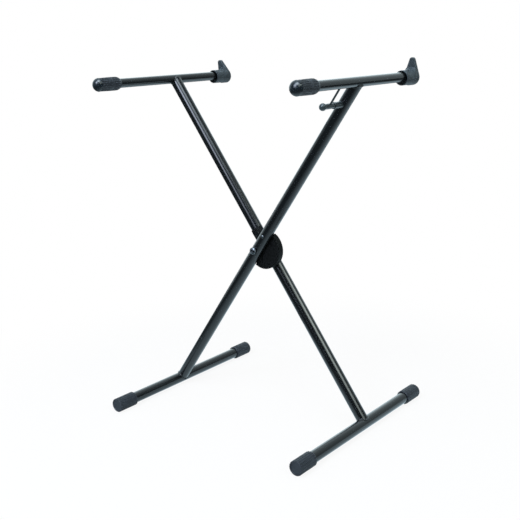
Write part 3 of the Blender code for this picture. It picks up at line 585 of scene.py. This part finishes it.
def stopRings(low, high):
    # Along the arm: mouth, bell, barrel, its flare and lip, and the stop with rounded edges.
    # Angles crowd towards the tip, which is on +Z.
    t = np.linspace(-np.pi, np.pi, 360, endpoint=False)
    turn = t - 0.80 * np.sin(t)
    barrel, back, bore = stop["diameter"] / 2, high, stop["bore"] / 2
    face = back - stop["plate"]
    lipFrom = face - stop["lip"]
    edge, wall, depth = stop["edge"], stop["mouthWall"], stop["mouthDepth"]
    rows = []
    for s in np.linspace(0, 1, 6)[1:]:
        rows.append((low + depth * (1 - s ** 2), bore + (barrel - wall - bore) * s, 0))
    for s in np.radians(np.linspace(0, 180, 9)[1:]):
        rows.append((low + wall / 2 - wall / 2 * np.sin(s), barrel - wall / 2 - wall / 2 * np.cos(s), 0))
    rows += [(low + 0.006, barrel, 0), (face - stop["flareLength"], barrel, 0)]
    ledge = stop["flare"] - stop["lipRise"]
    for s in np.linspace(0, 1, 14)[1:]:
        rows.append((face - stop["flareLength"] + (lipFrom - face + stop["flareLength"]) * s,
                     barrel + (ledge - barrel) * s ** 2.2, 0))
    rows += [(lipFrom + 0.0001, stop["flare"] - 0.0003, 0), (lipFrom + 0.0004, stop["flare"], 0)]
    rows.append((face - 0.0001, stop["flare"], 0))
    for s in np.radians(np.linspace(0, 90, 7)):
        rows.append((face + edge - edge * np.cos(s), 0.08, edge * (1 - np.sin(s))))
    for s in np.radians(np.linspace(0, 90, 7)):
        rows.append((back - edge + edge * np.sin(s), 0.08, edge * (1 - np.cos(s))))
    rows.append((back, 0.08, edge + 0.002))
    rows = np.array(rows)
    outline = np.stack([stopOutline(turn, inset) for inset in rows[:, 2]])
    limit = droppedCircle(rows[:, 1:2], turn[None, :])
    radius = np.minimum(outline, limit)
    bored = np.full((2, len(turn)), bore)
    radius = np.concatenate([bored, radius])
    along = np.concatenate([[face + 0.0010, low + depth], rows[:, 0]])
    along = np.broadcast_to(along[:, None], radius.shape)
    return np.stack([radius * np.sin(turn), along, radius * np.cos(turn)], -1)


def addStops():
    # the same stop twice, turned about its arm by its own lean
    for side, axis in (("right", rightArm), ("left", leftArm)):
        low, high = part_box(f"{side}_arm_stop")
        rings = place(stopRings(low[1], high[1]), legFrame(stopLean[side]), (axis[0], 0, axis[2]))
        piece = skin(f"{side}_arm_stop_rubber", rings)
        finishPiece(piece, stopSkin, f"{side}_stop", [f"{side}_arm_stop"])


addFootCaps()
addArmCaps()
addStops()
print("caps and stops made")


# Pivot and release gear

bolt = {
    "head": 0.0180, "height": 0.0078, "side": 0.0045, "key": 0.0050, "keyDepth": 0.0030, "shank": 0.0080,
}


def boltRings(headBase, end):
    # Domed head with a hexagon socket on -Y, then the shank to the nut. The dome is a flat arc.
    head, height, side = bolt["head"] / 2, bolt["height"], bolt["side"]
    key = bolt["key"] / 2
    profile = [(headBase - height + bolt["keyDepth"], key * 0.98), (headBase - height + 0.0003, key)]
    profile += [(headBase - height, key * 1.25)]
    lean = np.radians(np.linspace(62, 0, 16))
    rise = np.sin(lean) / np.sin(lean[0])
    spread = 1 - (1 - np.cos(lean)) / (1 - np.cos(lean[0]))
    dome = np.stack([headBase - side - (height - side) * rise, key * 1.45 + (head - key * 1.45) * spread], -1)
    rows = np.concatenate([profile, dome])
    rest = np.array([(headBase, head), (headBase, bolt["shank"] / 2), (end, bolt["shank"] / 2)])
    profile = np.concatenate([rows, rest])

    def hexagon(radius, turn, profile):
        # the first two rows are the socket: a radius over the cosine of the angle in each sixth
        socket = radius / np.cos((turn % (np.pi / 3)) - np.pi / 6)
        mask = (np.arange(len(profile)) < 2)[:, None]
        return np.where(mask, socket, radius)

    return lathe(profile, 96, shape=hexagon)


def addBolt():
    # the head stands on the front leg, and the shank reaches to the nut
    low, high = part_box("pivot_bolt")
    rings = place(boltRings(low[1] + bolt["height"], high[1]), upright, (pivot[0], 0, pivot[2]))
    piece = skin("pivot_bolt_plated", rings)
    finishPiece(piece, zincDark, "rear_frame", ["pivot_bolt"])


lever = {
    "diameter": 0.0086, "grip": 0.0122, "collar": 0.0150, "collarEdge": 0.0012, "slide": 0.0006,
    "ball": 0.0166, "rod": 0.0047,
}
pin = {"head": 0.0087, "rise": 0.0022, "shank": 0.0060}


def addReleaseGear():
    # Turned pieces, each a profile round its own axis: the lever's thin shank, grip and ball, its
    # collar with a saddle end, the guide rod along the leg and the domed head of the pin
    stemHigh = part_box("release_lever")[1][1]
    collarLow, collarHigh = (corner[1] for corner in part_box("lever_collar"))
    at = (middle("release_lever")[0], 0, middle("release_lever")[2])
    ball, thin, grip = lever["ball"] / 2, lever["diameter"] / 2, lever["grip"] / 2
    ballLow, ballHigh = (corner[1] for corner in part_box("lever_ball"))
    ballY = ballLow + ball
    profile = [(y, thin) for y in np.linspace(stemHigh, collarLow - gap, 8)]
    profile += [(collarLow - gap, grip - 0.0008), (collarLow - gap - 0.0008, grip)]
    profile += [(y, grip) for y in np.linspace(collarLow - 0.003, ballHigh + 0.009, 6)]
    profile += [(ballHigh + gap + 0.004, grip * 0.95), (ballHigh + gap, grip * 0.90)]
    profile += [(ballHigh + gap, thin * 0.8), (ballY, thin * 0.8)]
    stem = skin("release_lever_coated", place(lathe(profile, 64), upright, at))
    finishPiece(stem, leverEnamel, "release", ["release_lever"])

    last = np.arccos((ballY - ballHigh) / ball)
    profile = [(ballY - ball * np.cos(t), ball * np.sin(t)) for t in np.linspace(0.03, last, 40)]
    profile += [(ballHigh, thin * 0.84), (ballY - gap, thin * 0.84)]
    knob = skin("lever_ball_moulded", place(lathe(profile, 64), upright, at))
    finishPiece(knob, ballPhenolic, "release", ["lever_ball"])

    # The collar's rear end follows the round leg, so its distance along Y changes round the ring
    outer, edge, bore = lever["collar"] / 2, lever["collarEdge"], thin + gap
    profile = [(0, bore), (0, outer - 0.0003), (0, outer)]
    profile += [(y, outer) for y in np.linspace(collarHigh - 0.006, collarLow + edge, 6)]
    profile += arcPoints((collarLow + edge, outer - edge), edge, 90, 180, 6) + [(collarLow, bore)]
    rings = lathe(profile, 64)
    across = rings[:3, :, 0] * np.cos(splay) - rings[:3, :, 2] * np.sin(splay)
    rings[:3, :, 1] = frontLegY - np.sqrt((legTube["diameter"] / 2 + lever["slide"]) ** 2 - across ** 2)
    rings[2, :, 1] -= 0.0003
    collar = skin("lever_collar_coated", place(rings, upright, at), wrap=True)
    finishPiece(collar, leverEnamel, "release", ["lever_collar"])

    low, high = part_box("lever_guide_rod")
    rod = lever["rod"] / 2
    reach = np.array([high[0] - low[0], high[2] - low[2]])
    length = np.hypot(*reach) - rod * np.abs(np.sin(2 * splay))
    centre = np.array([(low[0] + high[0]) / 2, middle("lever_guide_rod")[1], (low[2] + high[2]) / 2])
    half = length / 2 - 0.0006
    profile = [(-half, rod)] + [(z, rod) for z in np.linspace(-half * 0.98, half - 0.001, 8)]
    profile += [(half - 0.0003, rod * 0.8), (half, rod * 0.45)]
    piece = skin("lever_guide_coated", place(lathe(profile, 40, axis="Z"), frontLean, centre))
    finishPiece(piece, leverEnamel, "release", ["lever_guide_rod"])

    low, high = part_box("lock_pin")
    head, rise = pin["head"] / 2, pin["rise"]
    base = low[1] + rise
    profile = [(base - rise * np.cos(t), head * np.sin(t)) for t in np.radians(np.linspace(6, 84, 10))]
    profile += [(base, head), (base, pin["shank"] / 2), (high[1], pin["shank"] / 2)]
    at = (middle("lock_pin")[0], 0, middle("lock_pin")[2])
    piece = skin("lock_pin_plated", place(lathe(profile, 48), upright, at))
    finishPiece(piece, zincDark, "release", ["lock_pin"])


addBolt()
addReleaseGear()
print("pivot and release gear made")


# Floor, light and camera

studio = {
    "floor": "#f4f4f4", "floorHalf": 6.0, "floorWhite": 0.90, "shadowRoom": (0.5, 1.1),
    "ambient": 0.34, "behind": (-0.64, 0.76, 0.10),
    # the floor's painted glow, seen by reflections alone: its middle, where it begins to fade and is gone,
    # its strength there and its colour
    "paintedGlow": (0.1, 0.7, 0.0), "paintedGlowNear": 0.5, "paintedGlowFar": 1.65, "paintedGlowStrength": (1.5, 0.08),
    "paintedGlowColour": "#d8f2ff", "backdrop": 2.2, "backdropColour": "#e6f9ff",
    "backdropStops": ((0, 0.02), (0.2, 0.27), (0.65, 0.5), (1, 1)),
}


def fade(tree, vector, centre, near, far, atNear, atFar):
    # A value that runs smoothly with the distance from a point
    away = addNode(tree, "ShaderNodeVectorMath", [(0, vector)], operation="DISTANCE")
    away.inputs[1].default_value = centre
    return addNode(
        tree, "ShaderNodeMapRange", [("Value", away.outputs["Value"])], interpolation_type="SMOOTHSTEP",
        From_Min=near, From_Max=far, To_Min=atNear, To_Max=atFar,
    ).outputs["Result"]


def addFloor():
    # Lit paper. The camera sees it white, with the object's shadow near the feet. For reflections the floor
    # glows instead: a painted reflection of a white sheet round the object, which fades towards the dark room
    # in front.
    material, tree, shader = newMaterial("paperFloor")
    shader.inputs["Base Color"].default_value = linear(studio["floor"])
    shader.inputs["Roughness"].default_value = 0.9
    where = addNode(tree, "ShaderNodeTexCoord").outputs["Object"]
    path = addNode(tree, "ShaderNodeLightPath")
    white = addNode(tree, "ShaderNodeEmission", Color=(1, 1, 1, 1), Strength=1.0)
    share = fade(tree, where, (0, 0, 0), *studio["shadowRoom"], studio["floorWhite"], 1.0)
    paper = addNode(tree, "ShaderNodeMixShader", [
        ("Fac", share), (1, shader.outputs["BSDF"]), (2, white.outputs["Emission"]),
    ])
    # Painted glow: for glossy rays the floor shines though it is no lamp, brightest near its middle, and
    # paints its reflection on the tubes
    glow = fade(tree, where, studio["paintedGlow"], studio["paintedGlowNear"], studio["paintedGlowFar"], *studio["paintedGlowStrength"])
    paintedGlow = addNode(tree, "ShaderNodeEmission", [("Strength", glow)], Color=linear(studio["paintedGlowColour"]))
    lit = addNode(tree, "ShaderNodeMixShader", [
        ("Fac", path.outputs["Is Camera Ray"]), (1, shader.outputs["BSDF"]), (2, paper.outputs["Shader"]),
    ])
    mix = addNode(tree, "ShaderNodeMixShader", [
        ("Fac", path.outputs["Is Glossy Ray"]), (1, lit.outputs["Shader"]), (2, paintedGlow.outputs["Emission"]),
    ])
    tree.links.new(mix.outputs["Shader"], tree.nodes["Material Output"].inputs["Surface"])
    material.cycles.emission_sampling = "NONE"  # the floor is no lamp, which keeps the noise down
    mesh = bpy.data.meshes.new("floor")
    corners = np.array([(-1, -1, 0), (1, -1, 0), (1, 1, 0), (-1, 1, 0)]) * studio["floorHalf"]
    mesh.from_pydata(corners.tolist(), [], [(0, 1, 2, 3)])
    floor = bpy.data.objects.new("floor", mesh)
    mesh.materials.append(material)
    bpy.context.scene.collection.objects.link(floor)


softboxes = {
    # middle: a direction. reach: the distances from it at which the light begins to fade and is
    # gone. across: square to the plane that a long one lies in. half: its half width there.
    "front": {"middle": (-0.03, -0.79, 0.61), "stretch": (1.5, 1, 1), "reach": (0.02, 0.52),
              "glow": 20.0, "colour": "#dfeaff"},
    "side": {"middle": (0.795, -0.02, 0.606), "stretch": (1, 1, 1), "reach": (0.15, 0.62),
             "across": (0.6155, 0.1923, -0.7642), "half": 0.07, "glow": 11.0, "colour": "#eefcf8"},
    "top": {"middle": (0.236, -0.291, 0.927), "stretch": (1, 1, 1), "reach": (0.05, 0.50),
            "glow": 15.0, "colour": "#eaf8ff"},
    "topHalo": {"middle": (0.10, -0.25, 0.963), "stretch": (1, 1, 1), "reach": (0.1, 0.7),
                "glow": 2.0, "colour": "#a6ccf4"},
}


def softbox(tree, where, box):
    # One soft light in the room, seen by reflections alone. Its strength falls with the distance
    # from its middle, and a long one's also with the distance from the plane it lies in.
    spread = addNode(tree, "ShaderNodeVectorMath", [(0, where)], operation="MULTIPLY")
    spread.inputs[1].default_value = box["stretch"]
    middleAt = tuple(np.array(box["middle"]) * np.array(box["stretch"]))
    near, far = box["reach"]
    strength = fade(tree, spread.outputs["Vector"], middleAt, near, far, box["glow"], 0.0)
    if "across" in box:
        off = addNode(tree, "ShaderNodeVectorMath", [(0, where)], operation="DOT_PRODUCT")
        off.inputs[1].default_value = box["across"]
        size = addNode(tree, "ShaderNodeMath", [(0, off.outputs["Value"])], operation="ABSOLUTE")
        band = addNode(
            tree, "ShaderNodeMapRange", [("Value", size.outputs[0])], interpolation_type="SMOOTHSTEP",
            From_Min=0.0, From_Max=box["half"] * 2, To_Min=1.0, To_Max=0.0,
        )
        strength = addNode(tree, "ShaderNodeMath", [
            (0, strength), (1, band.outputs["Result"]),
        ], operation="MULTIPLY").outputs[0]
    colour = linear(box["colour"])
    return addNode(tree, "ShaderNodeBackground", [("Strength", strength)], Color=colour).outputs[0]


def addWorld():
    # The camera sees plain white. Reflections see a bright backdrop behind the object, which
    # falls off through the sides to a dark room in front, and the soft lights in it.
    world = bpy.data.worlds.new("studio")
    bpy.context.scene.world = world
    world.use_nodes = True
    world.cycles.sampling_method = "NONE"
    tree = world.node_tree
    path = addNode(tree, "ShaderNodeLightPath")
    ambient = tree.nodes["Background"]
    ambient.inputs["Color"].default_value = (1, 1, 1, 1)
    ambient.inputs["Strength"].default_value = studio["ambient"]
    where = addNode(tree, "ShaderNodeTexCoord").outputs["Object"]
    behind = addNode(tree, "ShaderNodeVectorMath", [(0, where)], operation="DOT_PRODUCT")
    behind.inputs[1].default_value = studio["behind"]
    tint = np.array(linear(studio["backdropColour"]))
    falloff = addNode(tree, "ShaderNodeValToRGB", [("Fac", behind.outputs["Value"])], [
        (position, (*(tint * share)[:3], 1)) for position, share in studio["backdropStops"]
    ])
    room = addNode(
        tree, "ShaderNodeBackground", [("Color", falloff.outputs["Color"])], Strength=studio["backdrop"],
    )
    for box in softboxes.values():
        room = addNode(tree, "ShaderNodeAddShader", [(0, room.outputs[0]), (1, softbox(tree, where, box))])
    white = addNode(tree, "ShaderNodeBackground", Color=(1, 1, 1, 1), Strength=1.0)
    lit = addNode(tree, "ShaderNodeMixShader", [
        ("Fac", path.outputs["Is Glossy Ray"]), (1, ambient.outputs[0]), (2, room.outputs[0]),
    ])
    mix = addNode(tree, "ShaderNodeMixShader", [
        ("Fac", path.outputs["Is Camera Ray"]), (1, lit.outputs[0]), (2, white.outputs[0]),
    ])
    tree.links.new(mix.outputs[0], tree.nodes["World Output"].inputs["Surface"])


lamps = {
    # name: (position, size across and up, watts, colour, turn in its plane in degrees).
    # All aim at the middle of the stand.
    "overhead": ((0.55, -0.95, 2.6), (1.2, 1.0), 20.0, "#e8fbff", 0.0),
    "backPanel": ((-0.9, 2.7, 2.7), (2.6, 1.4), 18.0, "#e8e6f6", 0.0),
    "frontBox": ((0.02, -2.2, 2.2), (0.9, 0.9), 40.0, "#dce8ff", 0.0),
    "sideStrip": ((2.07, -0.05, 1.72), (2.4, 0.4), 14.0, "#f0fff8", 20.5),
    "leftFill": ((-2.0, -1.9, 0.9), (0.9, 1.4), 12.0, "#e8fff6", 0.0),
}


def addLamp(name, spot, size, energy, colour, roll):
    # an area lamp that looks at the pivot, and that reflections don't see
    lamp = bpy.data.lights.new(name, "AREA")
    lamp.shape = "RECTANGLE"
    lamp.size, lamp.size_y = size
    lamp.energy = energy
    lamp.color = linear(colour)[:3]
    holder = bpy.data.objects.new(name, lamp)
    back = np.array(spot, float) - pivot
    back /= np.linalg.norm(back)
    level = np.cross((0, 0, 1.0), back)
    level /= np.linalg.norm(level)
    roll = np.radians(roll)
    right = np.cos(roll) * level + np.sin(roll) * np.cross(back, level)
    up = np.cross(back, right)
    turn = Matrix([(right[i], up[i], back[i], spot[i]) for i in range(3)] + [(0, 0, 0, 1)])
    holder.matrix_world = turn
    holder.visible_glossy = False
    bpy.context.scene.collection.objects.link(holder)


view = {
    "azimuth": 39.25, "elevation": 14.52, "roll": -1.676, "distance": 2.14702,
    "lens": 59.52, "across": 0.006152, "up": 0.030061,
}


def addCamera():
    # on a sphere round the pivot, then shifted and rolled in its own plane
    az, el, roll = (np.radians(view[key]) for key in ("azimuth", "elevation", "roll"))
    back = np.array([np.sin(az) * np.cos(el), -np.cos(az) * np.cos(el), np.sin(el)])
    side = np.array([np.cos(az), np.sin(az), 0])
    over = np.cross(back, side)
    right = np.cos(roll) * side + np.sin(roll) * over
    up = np.cos(roll) * over - np.sin(roll) * side
    where = pivot + view["distance"] * back - view["across"] * right - view["up"] * up
    camera = bpy.data.cameras.new("camera")
    camera.sensor_width = 36.0
    camera.lens = view["lens"]
    holder = bpy.data.objects.new("camera", camera)
    holder.matrix_world = Matrix([(right[i], up[i], back[i], where[i]) for i in range(3)] + [(0, 0, 0, 1)])
    bpy.context.scene.collection.objects.link(holder)
    bpy.context.scene.camera = holder


addFloor()
addWorld()
for lampName, lampValues in lamps.items():
    addLamp(lampName, *lampValues)
addCamera()
bpy.context.scene.view_settings.view_transform = "Standard"
print("studio set")
